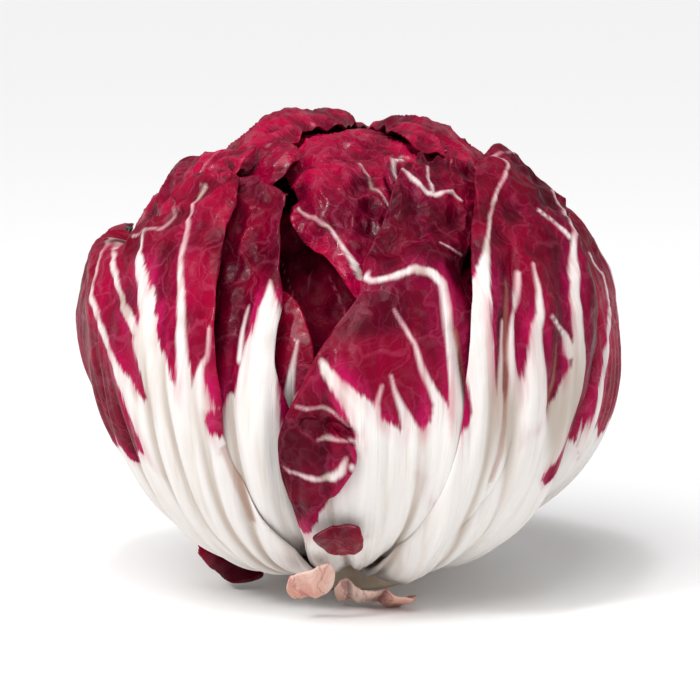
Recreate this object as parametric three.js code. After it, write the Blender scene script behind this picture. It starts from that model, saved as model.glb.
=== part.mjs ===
// A head of round red radicchio, standing on its cut stem.
//
// The head is a loose ball of leaves that all grow from one short stem. Every leaf is a thin curved
// blade with fleshy ribs that fan out from its foot. Leaves lie in layers round the ball, so each one
// is drawn in head coordinates: an azimuth (0 faces the front, which is -Y, and 90 faces +X), an
// elevation above the ball's middle, both in degrees, and a lift, in millimetres, off the ball's skin.
// Lengths are millimetres, +Z is up, and the stem's cut face lies on z = 0 with the axis at x = y = 0.

import * as THREE from "three";

// The ball's skin: a superellipse turned round the vertical axis.
const BALL_RADIUS = 60.6;
const CROWN_HEIGHT = 51;
const UNDERSIDE_DEPTH = 48.6;
const MIDDLE_Z = 52.1;
const CROWN_ROUNDNESS = 2.0;
const UNDERSIDE_ROUNDNESS = 2.15;

// The stem and the ring round it where the leaves are attached.
const STEM_RADIUS = 12.5;
const STEM_CHAMFER = 1.2;
const STEM_HEIGHT = 12;
const STEM_SIDES = 32;
const LEAF_RING_RADIUS = 13.8;

// Leaf blades: the thickness at the foot thins out over the given share of the length, and the ribs'
// relief fades towards the margins, the tip and the foot, by shares of the width and length.
const FOOT_THICKNESS = 1.7;
const BLADE_THICKNESS = 0.9;
const FOOT_SHARE = 0.55;
const MARGIN_FADE = 0.12;
const TIP_FADE = 0.1;
const FOOT_FADE = [0.05, 0.28];
const RIDGE_SOFTNESS = 0.8;

// Margins wander off a plain curve by this share of the leaf, from where the leaf opens out.
const MARGIN_WANDER = 0.028;
const MARGIN_START = [0.1, 0.5];
const SIDE_RIPPLES = 17;
const TIP_RIPPLES = 13;
const FINE_RIPPLE = 2.1;
const PHASE_STEP = 1.3;

// The heart of tightly closed inner leaves. Each inner leaf wraps part of a turn, and its margin slants.
const HEART_INSET = 15;
const HEART_FLOOR_Z = STEM_HEIGHT + 0.4;
const HEART_TOP_ELEVATION = 84;
const HEART_STEP = 1.6;
const HEART_WRAP = 120;
const HEART_SLANT = 150;
const HEART_TURN = 0.35;

const LEAF_RED = 0x8c1238;
const LEAF_DARK = 0x6d0c2b;
const STEM_CREAM = 0xe9dfd0;
const HUSK_PINK = 0xc98d84;

// The least space between a leaf and what it rests on, and the reach of that support in parts of a radius.
const LEAF_GAP = 0.5;
const SUPPORT_CELL = 0.042;

// How far the layers are crumpled together, low on the ball and at its crown.
const LOW_CRUMPLE = 0.25;
const CROWN_CRUMPLE = 0.8;
const CRUMPLE_RISE = [-0.3, 0.7];

// Slow waves that cross the ball and add up to the crumpling: each has a share of it, how fast it turns
// along x, y and z, and a phase.
const CRUMPLE_WAVES = [
  [0.4, 17, 10, 13, 0],
  [0.35, -15, 19, 17, 2.1],
  [0.25, 25, -13, -20, 3.7],
];

// Folds pressed into all the layers at one place: a depth, then azimuth, elevation and half width.
const CREASES = [
  {
    depth: 2.4,
    path: [
      [36.5, 22, 0.8], [34.6, 10, 1.2], [34, -6, 1.4], [32.5, -20, 1.2], [29, -28, 0.8],
    ],
  },
  { depth: 1.4, path: [[49, 16, 0.8], [47.5, 6, 1.2], [46, -4, 0.8]] },
  { depth: 1.4, path: [[79, 22, 1], [78, 4, 1.4], [75, -16, 1]] },
  { depth: 1.1, path: [[-66, 30, 1], [-62, 18, 1.4], [-58, 12, 1]] },
  { depth: 1.1, path: [[-72, 8, 1], [-62, -4, 1.4], [-54, -14, 1]] },
  { depth: 1.2, path: [[-23, 34, 1], [-22, 20, 1.2], [-22.5, 8, 1]] },
  { depth: 1.4, path: [[-176, 36, 1], [-177, 10, 1.6], [-175, -16, 1]] },
  { depth: 1.4, path: [[132, 38, 1], [132, 12, 1.6], [133, -14, 1]] },
];

// Broad swellings (+) and hollows (-) of the ball: azimuth, elevation, height and reach in degrees.
const SWELLINGS = [
  [-92, -30, -8.5, 28],
  [-35, -32, 0.8, 22],
  [35, -25, 1.0, 24],
  [95, -45, -1.2, 25],
  [72, 40, -0.4, 20],
  [-60, 30, -0.8, 20],
  [150, 20, 1.0, 30],
  [-150, 10, 1.4, 30],
];

const radians = THREE.MathUtils.degToRad;
const smooth = THREE.MathUtils.smoothstep;

/** The unit vector from the ball's middle towards an azimuth and elevation in degrees. */
function heading(azimuth, elevation) {
  const a = radians(azimuth);
  const e = radians(elevation);
  return new THREE.Vector3(Math.cos(e) * Math.sin(a), -Math.cos(e) * Math.cos(a), Math.sin(e));
}

/** How far the layers are crumpled out or in, from -1 to 1, along a unit vector. */
function crumpleWave(direction) {
  const waves = CRUMPLE_WAVES.map(([share, x, y, z, phase]) => {
    return share * Math.sin(x * direction.x + y * direction.y + z * direction.z + phase);
  });
  return waves.reduce((sum, wave) => sum + wave, 0);
}

/** The distance from the ball's middle to its skin along a unit vector. */
function skinRadius(direction) {
  const flat = Math.hypot(direction.x, direction.y) / BALL_RADIUS;
  const up = direction.z > 0;
  const power = up ? CROWN_ROUNDNESS : UNDERSIDE_ROUNDNESS;
  const tall = Math.abs(direction.z) / (up ? CROWN_HEIGHT : UNDERSIDE_DEPTH);
  let radius = Math.pow(Math.pow(flat, power) + Math.pow(tall, power), -1 / power);
  for (const [azimuth, elevation, height, reach] of SWELLINGS) {
    const apart = direction.angleTo(heading(azimuth, elevation)) / radians(reach);
    radius += height * Math.exp(-apart * apart);
  }
  for (const { depth, path } of CREASES) {
    radius -= depth * ridge(direction, path);
  }
  const risen = smooth(direction.z, ...CRUMPLE_RISE);
  return radius + THREE.MathUtils.lerp(LOW_CRUMPLE, CROWN_CRUMPLE, risen) * crumpleWave(direction);
}

/** How far a direction is from a path of stations, in millimetres, and the path's half width there. */
function nearPath(direction, path) {
  let best = { distance: Infinity, width: 1 };
  for (let i = 0; i + 1 < path.length; i += 1) {
    const from = heading(path[i][0], path[i][1]);
    const way = heading(path[i + 1][0], path[i + 1][1]).sub(from);
    const t = THREE.MathUtils.clamp(direction.clone().sub(from).dot(way) / way.lengthSq(), 0, 1);
    const distance = direction.distanceTo(from.addScaledVector(way, t)) * BALL_RADIUS;
    if (distance < best.distance) {
      best = { distance, width: THREE.MathUtils.lerp(path[i][2], path[i + 1][2], t) };
    }
  }
  return best;
}

/** A ridge's height, from 0 to 1, at a direction near a path. */
function ridge(direction, path) {
  const { distance, width } = nearPath(direction, path);
  return Math.exp(-Math.pow(distance / (width + RIDGE_SOFTNESS), 2));
}

/** A leaf's row of stations, from its left margin to its right. A single number stands for the whole row. */
function row(azimuths, elevations, lifts) {
  return azimuths.map((azimuth, i) => {
    const elevation = Array.isArray(elevations) ? elevations[i] : elevations;
    const lift = Array.isArray(lifts) ? lifts[i] : lifts;
    return [azimuth, elevation, lift];
  });
}

/** The first row of a leaf, on the ring round the stem. */
function foot(azimuths, lifts) {
  return azimuths.map((azimuth, i) => {
    const lift = Array.isArray(lifts) ? lifts[i] : lifts;
    const below = Math.acos(LEAF_RING_RADIUS / (UNDERSIDE_DEPTH + lift));
    return [azimuth, -THREE.MathUtils.radToDeg(below), lift];
  });
}

// Each leaf: its rows of stations from foot to tip, its ribs (azimuth, elevation and half width along
// each), and the columns and rows of its mesh. Each leaf rests on the ones listed before it.
const LEAVES = {
  leaf_crown: {
    rows: [
      row([48, 62, 80, 100], [10, 20, 24, 24], -9.8),
      row([26, 40, 66, 100], [18, 32, 42, 44], -9.8),
      row([9, 16, 45, 100], [14, 36, 58, 64], [-9.2, -8.4, -7, -6.4]),
      row([2.5, 5, 10, 150], [17.5, 33, 62, 80], [-7, -6.4, -4.2, -4.6]),
      row([-5, -5, -14, -140], [26.5, 39, 64, 80], [-5.4, -3.4, -3.6, -4.6]),
      row([-13, -12.5, -25, -80], [33, 44.5, 62, 72], [-5.4, -3.6, -4.4, -5.4]),
      row([-19.5, -20, -31, -62], [40.5, 47.5, 56.5, 62], [-6.8, -6, -6.4, -7]),
    ],
    ribs: [
      { height: 0.7, path: [[2, 25, 0.8], [-1, 29, 0.7], [-6, 33, 0.5]] },
      {
        height: 1.2,
        path: [
          [5.3, 32, 0.9], [0, 37.5, 1], [-8.5, 42.5, 1.4], [-11, 46, 1.6], [-12.5, 52, 1],
        ],
      },
      { height: 0.6, path: [[9.5, 40.5, 0.6], [5, 49.5, 0.6], [1, 54, 0.4]] },
    ],
    mesh: [13, 15],
  },
  leaf_crown_rib: {
    rows: [
      row([24, 34, 44], [34, 34, 34], -11.6),
      row([18, 28, 40], [42, 42, 42], [-10, -10.4, -11]),
      row([12, 22, 36], [49, 50, 50], [-5.4, -5.4, -8.6]),
      row([13, 24, 38], [56, 57, 56], [-3, -3, -6]),
      row([18, 28, 40], [60.5, 61, 60], [-2.4, -3, -6]),
    ],
    ribs: [{ height: 1, path: [[22, 61, 0.9], [15.5, 57, 1.3], [12.5, 52, 1.4], [12.5, 47, 1]] }],
    mesh: [8, 9],
  },
  leaf_gap: {
    rows: [
      foot([-22, -13, -4, 5], -7.6),
      row([-28, -18, -9, 2], -54, -8.4),
      row([-34, -24, -14, -4], -26, -9.2),
      row([-36, -26, -16, -7], -8, [-9.2, -9.2, -7.6, -6.4]),
      row([-36, -26, -16, -7.5], 4, [-9.2, -9.2, -7, -5.6]),
      row([-36, -27, -17, -9], [14, 14, 13, 12.5], [-9.4, -9.4, -8, -6.8]),
      row([-36, -28, -20, -13.5], [26, 25, 22, 19], [-9.8, -9.8, -9, -8]),
    ],
    ribs: [{ height: 1, path: [[-12, 10, 0.6], [-13, 0, 1.4], [-12, -20, 2.4], [-7, -48, 3]] }],
    mesh: [9, 11],
  },
  leaf_rear_right: {
    rows: [
      foot([108, 128, 150, 174], -3.4),
      row([104, 128, 153, 180], -56, [-4.6, -3, -2.4, -4.6]),
      row([100, 128, 156, 188], -32, [-5, -2.4, -2, -5]),
      row([102, 130, 156, 188], -8, [-5, -2, -2, -5]),
      row([102, 130, 156, 188], 14, [-5, -1, -1.6, -5]),
      row([100, 128, 156, 188], 34, [-5.4, -0.6, -1.4, -5.2]),
      row([92, 124, 154, 186], [50, 50, 51, 52], [-6.4, -1, -1.4, -5.4]),
      row([74, 112, 146, 180], [58, 62, 64, 63], [-6.6, -1, -1.6, -6]),
      row([56, 92, 134, 172], [64, 72, 75, 71], [-5.4, 0.4, -1, -6]),
      row([44, 74, 116, 168], [68, 79, 80, 73], [-6.4, -5, -5.4, -7]),
    ],
    ribs: [
      {
        height: 1.5,
        path: [
          [140, 52, 0.8], [144, 20, 2], [144, -10, 3.2], [142, -40, 4], [140, -60, 4],
        ],
      },
      { height: 1.2, path: [[120, 32, 0.8], [122, 6, 1.8], [124, -24, 2.8], [126, -54, 3.4]] },
    ],
    mesh: [13, 16],
  },
  leaf_rear_left: {
    rows: [
      foot([-196, -168, -140, -114, -106], [-0.4, -0.4, -1.2, -2.6, -3]),
      row([-204, -172, -141, -112, -100], -56, [-0.2, -0.2, -1, -4.6, -5]),
      row([-212, -178, -142, -108, -92], -32, [0, 0, -1, -4.8, -5.6]),
      row([-212, -178, -142, -108, -92], -8, [0, 0, -1, -4.8, -6]),
      row([-210, -176, -140, -108, -90], 14, [0, 0, -1, -5.2, -7]),
      row([-206, -172, -138, -106, -80], [34, 34, 34, 34, 31], [0, 0.4, -1, -6, -9]),
      row([-200, -168, -132, -90, -56], [50, 51, 52, 52, 42], [-0.4, 0.6, -1, -5.4, -10]),
      row([-192, -160, -120, -70, -36], [62, 64, 64, 60, 48], [-1, 0.8, 0, -3.4, -9.4]),
      row([-186, -158, -104, -56, -26], [72, 77, 74, 64, 54], [-1.4, 1.4, 1.2, -2.4, -8.4]),
      row([-176, -130, -64, -42, -20], [79, 86, 79, 67, 59], [-4.5, -2.4, -3.6, -5.4, -8]),
    ],
    ribs: [
      {
        height: 1.5,
        path: [
          [-160, 50, 0.8], [-166, 20, 2], [-168, -10, 3.4], [-166, -40, 4], [-164, -62, 4.4],
        ],
      },
      { height: 1.2, path: [[-186, 30, 0.8], [-188, 6, 1.8], [-184, -24, 3], [-178, -54, 3.6]] },
      { height: 1.2, path: [[-140, 30, 0.8], [-144, 6, 1.8], [-148, -24, 3], [-150, -54, 3.6]] },
    ],
    mesh: [17, 17],
  },
  leaf_shoulder: {
    rows: [
      foot([-106, -92, -78, -64], -5),
      row([-114, -94, -74, -54], -54, -5),
      row([-115, -96, -76, -54], -28, [-5, -6, -6, -6]),
      row([-115, -96, -76, -54], 0, [-5, -6.4, -6.4, -6.4]),
      row([-115, -95, -76, -52], 22, [-6, -7, -7, -7]),
      row([-114, -92, -72, -46], [34, 35, 36, 36], [-7, -7.5, -8, -7]),
      row([-110, -90, -70, -44], [42, 44, 44, 45], [-4, -3.4, -5, -5.4]),
      row([-106, -86, -66, -42], [46, 50, 51, 53], [-3.4, -0.8, -0.4, -4.4]),
      row([-100, -80, -58, -40], [50, 55, 57, 57], [-6, -3.4, -2.8, -6.4]),
    ],
    ribs: [{ height: 1, path: [[-60, 54, 0.8], [-66, 36, 1], [-74, 10, 2], [-74, -30, 3]] }],
    mesh: [11, 13],
  },
  leaf_left_inner: {
    rows: [
      foot([-42, -31, -18, -6], -5.6),
      row([-44, -30, -16, -3], -56, -4.6),
      row([-48, -35, -20, -4], -34, [-2.4, -2.2, -2, -2.6]),
      row([-54, -40, -26, -11], -12, [-3.6, -3.2, -2.6, -3]),
      row([-56, -42, -28, -15], 4, [-4.2, -4.2, -3.2, -3]),
      row([-56, -42, -28, -14], 16, [-4.8, -4.8, -3.8, -3]),
      row([-54, -41, -28, -17.5], 27, [-4.8, -5, -4.4, -3.4]),
      row([-52, -40, -29, -18.5], 38, [-5.4, -5.4, -5, -3.6]),
      row([-50, -40, -30, -20], [45, 46, 48, 45], [-6, -6, -5.6, -4.4]),
    ],
    ribs: [
      {
        height: 1.4,
        path: [
          [-18, 22, 0.8], [-18.5, 12, 2.8], [-19.5, 2, 3.4], [-19, -16, 3.6], [-13, -38, 3.6],
          [-8, -58, 3.6],
        ],
      },
      { height: 1.0, path: [[-26, 16, 0.7], [-26, 0, 2], [-23, -20, 2.8], [-17, -44, 3]] },
    ],
    mesh: [12, 14],
  },
  leaf_far_right: {
    rows: [
      foot([62, 82, 104, 126], [-3, -3, -2.4, -1.4]),
      row([56, 78, 101, 126], -56, [-4, -3.4, -1.6, -0.8]),
      row([50, 70, 96, 126], -34, [-4.6, -3, -1, -0.6]),
      row([49, 68, 94, 124], -12, [-4.8, -2.4, -1.2, -0.6]),
      row([51, 69, 94, 124], 6, [-4.8, -2.4, -1.4, -0.8]),
      row([53, 70, 94, 122], 22, [-4.6, -2.2, -1.2, -0.6]),
      row([56, 73, 95, 120], [34, 34, 33, 34], [-4.6, -2.4, -1.4, -0.6]),
      row([60, 76, 96, 118], [46, 43, 41, 43], [-5, -4.5, -3.4, -2.4]),
    ],
    ribs: [
      {
        height: 1.3,
        path: [
          [68, 29, 0.8], [72, 20, 1.2], [67, 8, 2.2], [65, -8, 3.2], [62, -34, 3.4], [66, -60, 4],
        ],
      },
      { height: 1.3, path: [[92, 24, 0.8], [90, 4, 2], [86, -24, 3], [84, -56, 4]] },
      { height: 1.0, path: [[110, 24, 0.8], [110, 0, 1.8], [106, -30, 2.6], [104, -56, 3.4]] },
    ],
    mesh: [14, 13],
  },
  leaf_front: {
    rows: [
      foot([-17, -8, 1, 11, 22], -2.6),
      row([-15, -7, 3, 14, 27], -56, [-1.6, -1.2, -1.2, -1.8, -3]),
      row([-10.4, -11, 2, 15, 28], [-29, -29.5, -32, -32, -32], [1.6, 1, 0, -0.4, -2]),
      row([-4, -13, 0, 14, 28], [-21.5, -22, -22, -22, -22], [4.6, 2.2, 0.8, 0.2, -2.4]),
      row([-0.4, -14, 0, 14, 28], [-16, -16, -14, -14, -14], [5.2, 2.6, 1.4, 0.6, -2.6]),
      row([2.4, -14, 0, 14, 28], [-10.2, -9, -8, -7, -7], [5.4, 2.8, 1.8, 0.8, -2.8]),
      row([-7, -11.4, 1, 14, 28], [-4.5, -3.5, -1, -1, -1], [4, 2.8, 1.8, 1, -3]),
      row([-7.2, -7, 3, 14, 28], [3, 3.4, 5, 5, 5], [1.6, 1.6, 1.8, 1, -3.2]),
      row([-4, -2.5, 6, 14, 28], [10.5, 11, 12, 12, 12], 1),
      row([2.5, 4.5, 9.5, 16, 28], [18, 18.5, 19.5, 19.5, 18], [0.6, 1, 1.6, 1.6, -4.4]),
      row([2.7, 6, 11, 17, 27], [24.5, 23.5, 24.5, 26, 23], [-0.8, 0.2, 0.6, 0.6, -5]),
      row([3.8, 8, 13, 20, 31], [28, 27.5, 28, 29, 28], [-3.4, -4.6, -4.8, -4.4, -7]),
      row([7, 13, 20, 28, 36], [34, 34, 34, 34, 34], [-3.2, -4.6, -6, -7.5, -9]),
      row([11, 18, 26, 34, 42], [41, 40.5, 40, 40, 40], [-2.4, -3, -4, -5.5, -7.5]),
      row([14.6, 22, 32, 40, 48], [46, 47, 47.5, 47, 46], [-1.6, -1.6, -1.8, -2.5, -5]),
      row([19, 27, 39, 49, 57], [51.5, 54.5, 57, 57.5, 53], [-1.6, -1.2, -1, -1.6, -4]),
    ],
    ribs: [
      {
        height: 0.9,
        path: [
          [2, 25, 0.7], [9, 24, 1], [17, 26.5, 1], [20.5, 23, 1.4], [20.5, 12, 1.7], [21, 2, 2.2],
          [21, -16, 3], [17, -38, 3], [15, -56, 3],
        ],
      },
      { height: 1.0, path: [[9, 17, 0.5], [13, 10, 1], [15.5, 1, 1.6], [14, -18, 2.6], [11, -40, 3]] },
      { height: 1.2, path: [[-4, 6, 1.4], [0, -2, 2.2], [5, -14, 3], [6, -38, 3.2], [5, -58, 3]] },
    ],
    mesh: [18, 30],
  },
  leaf_left: {
    rows: [
      foot([-80, -60, -42, -28, -14], -0.6),
      row([-84, -62, -42, -27, -11], -58, -0.6),
      row([-96, -68, -45, -30, -15], -38, 0),
      row([-108, -77, -55, -39, -25], -18, [0, 0, 0, 0, 0.8]),
      row([-116, -83, -60, -43, -26.5], 2, [0, 0.2, 0.4, 0.8, 1.6]),
      row([-118, -85, -63, -45, -28], [12, 13, 14, 19, 20], [0, 0.6, 1, 1.2, 1.8]),
      row([-118, -86, -66, -48, -30.5], [19, 20, 21, 32, 35], [-0.4, 1, 1.2, 1.2, 1.2]),
      row([-116, -86, -68, -50, -33], [23, 24, 24, 42, 42], [-2, 0.6, 0, 2.2, 0.8]),
      row([-114, -86, -69, -50, -36], [25, 26, 25.5, 47, 45.5], [-5, -3.6, -3.6, 0.4, -1.2]),
    ],
    ribs: [
      {
        height: 1.5,
        path: [
          [-52, 30, 1.6], [-49, 20, 2.6], [-45, 8, 3.6], [-38, -6, 4], [-30, -22, 4],
          [-22, -38, 4], [-20, -60, 4],
        ],
      },
      {
        height: 1.2,
        path: [
          [-40, 40, 0.8], [-39.5, 24, 0.9], [-37.5, 10, 1.2], [-34, -5, 2], [-26, -26, 2.6],
          [-17, -46, 3],
        ],
      },
      {
        height: 1.5,
        path: [
          [-78, 24, 1.2], [-72, 15, 1.6], [-57, 6, 2.2], [-47, -8, 3.2], [-37, -26, 3.6],
          [-30, -46, 4],
        ],
      },
      { height: 1.2, path: [[-90, 22, 1], [-84, 2, 2], [-66, -20, 3], [-46, -44, 3.4]] },
    ],
    mesh: [20, 15],
  },
  leaf_right: {
    rows: [
      foot([10, 22, 36, 50, 66], -0.6),
      row([8, 20, 33, 47, 65], -58, -0.6),
      row([13, 23, 34, 46, 60], -38, 0),
      row([20, 29, 38, 47, 56], -16, [0.2, 0, 0, 0, 0]),
      row([22.5, 31, 40, 50, 60], 4, [0.6, 0.4, 0.4, 0.4, 0]),
      row([24.5, 33, 43, 54, 66], 21, [0.6, 1, 1.2, 1.2, 0.4]),
      row([32, 39, 49, 61, 73], [33, 36, 38, 36, 32], [-0.5, 1.6, 2.2, 1.4, 0.4]),
      row([41, 48, 58, 69, 80], [43, 46.5, 48, 43.5, 37], [-2, 0.8, 2.8, 2, 0]),
      row([46, 55, 68, 77, 87], [48.5, 52, 53, 48, 40.5], [-4.2, -0.8, 3, 1.4, -2.6]),
    ],
    ribs: [
      {
        height: 1.6,
        path: [
          [48, 47, 1], [40.5, 42.5, 1], [35.5, 35.5, 0.8], [30.5, 26, 1.2], [27, 16, 2],
          [25, 4, 3], [24, -12, 3.4], [18, -36, 3.6], [17, -58, 4],
        ],
      },
      {
        height: 1.5,
        path: [
          [40.5, 23, 1], [37.5, 14, 1.6], [36.5, 0, 2.4], [34, -18, 3], [26, -40, 3.2],
          [24, -60, 3],
        ],
      },
      {
        height: 1.3,
        path: [
          [44.5, 26, 0.8], [43, 14, 1.2], [39.5, 2, 2.6], [39, -18, 3.2], [31, -42, 3.2],
        ],
      },
      {
        height: 1.8,
        path: [
          [55.5, 37, 1], [62, 30, 2], [59, 20, 2.4], [56, 6, 3.2], [53, -12, 3.2], [47, -34, 3.6],
          [44, -58, 4],
        ],
      },
    ],
    mesh: [20, 16],
  },
  scrap_left: {
    rows: [
      row([-65, -62, -60], [-65.5, -66, -66], [1.2, 2.4, 3.6]),
      row([-71, -66, -61], [-61, -62, -62.5], [0.8, 3, 5.6]),
      row([-74, -68, -65], [-56, -57.5, -59], [1, 4.4, 7.6]),
      row([-74, -70, -69], [-51, -53.5, -55.5], [1.4, 5, 8]),
      row([-74, -72, -71], [-48, -50, -51.5], [2.6, 4.8, 6.6]),
    ],
    ribs: [],
    mesh: [9, 12],
  },
  scrap_low: {
    rows: [
      row([-4, 9, 23], [-60.5, -61, -60.5], [2.2, 3.4, 2]),
      row([-6, 9, 25], [-56.5, -57, -56.5], [1, 1.8, 0.8]),
      row([-3, 9, 21], [-52, -52.5, -52], [0, 0.4, 0]),
    ],
    ribs: [],
    mesh: [10, 6],
  },
  scrap_husk: {
    rows: [
      row([-16, -11, -5], [-48.5, -48, -47.5], 0.6),
      row([-17, -11, -4], [-44.5, -44, -43.5], [1.2, 2, 1.2]),
      row([-15, -10.5, -5], [-40.5, -39.5, -39], [1, 1.6, 1]),
    ],
    ribs: [],
    mesh: [8, 6],
  },
  scrap_front: {
    rows: [
      row([-8, -5, -1, 2], [-28.5, -27, -26, -26], 0.8),
      row([-7, -3, 0.5, 3], [-31.5, -30.5, -29.5, -29.5], [1.6, 2.4, 2.2, 1.4]),
      row([-5, -2, 1, 3], [-35, -36, -35, -33.5], [1.4, 2.6, 2.6, 1.6]),
    ],
    ribs: [],
    mesh: [8, 6],
  },
};

/** A Catmull-Rom spline through values, at a place from 0 to 1. It runs on straight past both ends. */
function along(values, place) {
  const last = values.length - 1;
  const span = Math.min(last - 1, Math.max(0, Math.floor(place * last)));
  const t = place * last - span;
  const p1 = values[span];
  const p2 = values[span + 1];
  const p0 = span > 0 ? values[span - 1] : 2 * p1 - p2;
  const p3 = span + 2 <= last ? values[span + 2] : 2 * p2 - p1;
  if (t < 0) return p1 + t * 0.5 * (p2 - p0);
  if (t > 1) return p2 + (t - 1) * 0.5 * (p3 - p1);
  const a = 2 * p0 - 5 * p1 + 4 * p2 - p3;
  const b = 3 * p1 - p0 - 3 * p2 + p3;
  return 0.5 * (2 * p1 + t * (p2 - p0 + t * (a + t * b)));
}

/** The stations' headings and lifts as four grids of numbers, rows by columns. */
function stationGrids(rows) {
  const places = rows.map((stations) =>
    stations.map(([azimuth, elevation, lift]) => [...heading(azimuth, elevation).toArray(), lift]),
  );
  return [0, 1, 2, 3].map((part) => places.map((stations) => stations.map((p) => p[part])));
}

/** The value of a grid at u across the leaf and v along it. */
function onGrid(grid, u, v) {
  return along(grid.map((stations) => along(stations, u)), v);
}

/** An uneven wave, from -1 to 1. */
function unevenWave(place, phase) {
  return (Math.sin(place + phase) + Math.sin(FINE_RIPPLE * place + 3 * phase)) / 2;
}

/** A point on a leaf's inner face, u across it and v along it. */
function innerPoint(leaf, u, v) {
  const side = 2 * u - 1;
  const open = MARGIN_WANDER * smooth(v, ...MARGIN_START);
  const across = u + open * side * Math.abs(side) ** 3 * unevenWave(SIDE_RIPPLES * v, leaf.phase);
  const length = v * (1 + MARGIN_WANDER * v ** 6 * unevenWave(TIP_RIPPLES * u, leaf.phase));
  const [x, y, z, lift] = leaf.grids.map((grid) => onGrid(grid, across, length));
  const direction = new THREE.Vector3(x, y, z).normalize();
  return direction.multiplyScalar(skinRadius(direction) + lift);
}

/** A leaf's thickness, u across it and v along it, at a point of its inner face. */
function thickness(leaf, point, u, v) {
  const direction = point.clone().normalize();
  const blade = THREE.MathUtils.lerp(FOOT_THICKNESS, BLADE_THICKNESS, smooth(v, 0, FOOT_SHARE));
  const inside = smooth(Math.min(u, 1 - u), 0, MARGIN_FADE) * smooth(1 - v, 0, TIP_FADE);
  const grown = smooth(v, ...FOOT_FADE);
  const relief = leaf.ribs.map((rib) => rib.height * ridge(direction, rib.path));
  return blade + inside * grown * Math.max(0, ...relief);
}

/** The cell of directions that a direction falls in. */
function cellOf(direction) {
  return direction.toArray().map((x) => Math.round(x / SUPPORT_CELL));
}

/** Notes in a map of directions how far out a surface reaches, given as a grid of points. */
function noteSurface(map, points, columns, rows) {
  const fine = 3;
  for (let j = 0; j < rows * fine; j += 1) {
    for (let i = 0; i < columns * fine; i += 1) {
      const [ci, cj] = [Math.floor(i / fine), Math.floor(j / fine)];
      const [s, t] = [(i % fine) / (fine - 1), (j % fine) / (fine - 1)];
      const start = cj * (columns + 1) + ci;
      const low = points[start].clone().lerp(points[start + 1], s);
      const high = points[start + columns + 1].clone().lerp(points[start + columns + 2], s);
      const p = low.lerp(high, t);
      const radius = p.length();
      const key = cellOf(p.normalize()).join();
      map.set(key, Math.max(map.get(key) ?? 0, radius));
    }
  }
}

/** How far out the pieces in a map reach round about a direction. */
function support(map, direction) {
  const [x, y, z] = cellOf(direction);
  let radius = 0;
  for (let i = -1; i <= 1; i += 1) {
    for (let j = -1; j <= 1; j += 1) {
      for (let k = -1; k <= 1; k += 1) {
        radius = Math.max(radius, map.get([x + i, y + j, z + k].join()) ?? 0);
      }
    }
  }
  return radius;
}

/** A grid of numbers after each takes a statistic of itself and the ones next to it. */
function overNeighbours(values, columns, rows, statistic) {
  return values.map((value, index) => {
    const near = [];
    const [i, j] = [index % (columns + 1), Math.floor(index / (columns + 1))];
    for (let y = Math.max(0, j - 1); y <= Math.min(rows, j + 1); y += 1) {
      for (let x = Math.max(0, i - 1); x <= Math.min(columns, i + 1); x += 1) {
        near.push(values[y * (columns + 1) + x]);
      }
    }
    return statistic(near);
  });
}

/** A closed blade from a leaf's description, lying on the pieces noted in the map of support. */
function bladeGeometry(leaf, map) {
  const [columns, rows] = leaf.mesh;
  const step = 0.004;
  const inner = [];
  const outer = [];
  for (let j = 0; j <= rows; j += 1) {
    for (let i = 0; i <= columns; i += 1) {
      const [u, v] = [i / columns, j / rows];
      const point = innerPoint(leaf, u, v);
      const across = innerPoint(leaf, u + step, v).sub(innerPoint(leaf, u - step, v));
      const upward = innerPoint(leaf, u, v + step).sub(innerPoint(leaf, u, v - step));
      const normal = across.cross(upward).normalize();
      inner.push(point);
      outer.push(point.clone().addScaledVector(normal, thickness(leaf, point, u, v)));
    }
  }
  const short = inner.map((point, index) => {
    const lower = point.length() < outer[index].length() ? point : outer[index];
    const need = support(map, lower.clone().normalize());
    return need > 0 ? Math.max(0, need + LEAF_GAP - lower.length()) : 0;
  });
  const widened = overNeighbours(short, columns, rows, (near) => Math.max(...near));
  const mean = (near) => near.reduce((sum, value) => sum + value, 0) / near.length;
  const pushed = overNeighbours(widened, columns, rows, mean);
  pushed.forEach((push, index) => {
    inner[index].setLength(inner[index].length() + push);
    outer[index].setLength(outer[index].length() + push);
  });
  noteSurface(map, outer, columns, rows);
  noteSurface(map, inner, columns, rows);

  const faces = [];
  const count = inner.length;
  const at = (i, j) => j * (columns + 1) + i;
  for (let j = 0; j < rows; j += 1) {
    for (let i = 0; i < columns; i += 1) {
      const [a, b, c, d] = [at(i, j), at(i + 1, j), at(i + 1, j + 1), at(i, j + 1)];
      faces.push(a, c, b, a, d, c);
      faces.push(a + count, b + count, c + count, a + count, c + count, d + count);
    }
  }
  const wall = (a, b) => faces.push(a, b, b + count, a, b + count, a + count);
  for (let i = 0; i < columns; i += 1) {
    wall(at(i, 0), at(i + 1, 0));
    wall(at(i + 1, rows), at(i, rows));
  }
  for (let j = 0; j < rows; j += 1) {
    wall(at(0, j + 1), at(0, j));
    wall(at(columns, j), at(columns, j + 1));
  }
  return facetGeometry([...inner, ...outer], faces);
}

/** A geometry from points, measured from the ball's middle, and the indices of its faces. */
function facetGeometry(points, faces) {
  const positions = points.flatMap((p) => [p.x, p.y, p.z + MIDDLE_Z]);
  const geometry = new THREE.BufferGeometry();
  geometry.setAttribute("position", new THREE.Float32BufferAttribute(positions, 3));
  geometry.setIndex(faces);
  geometry.computeVertexNormals();
  return geometry;
}

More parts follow.
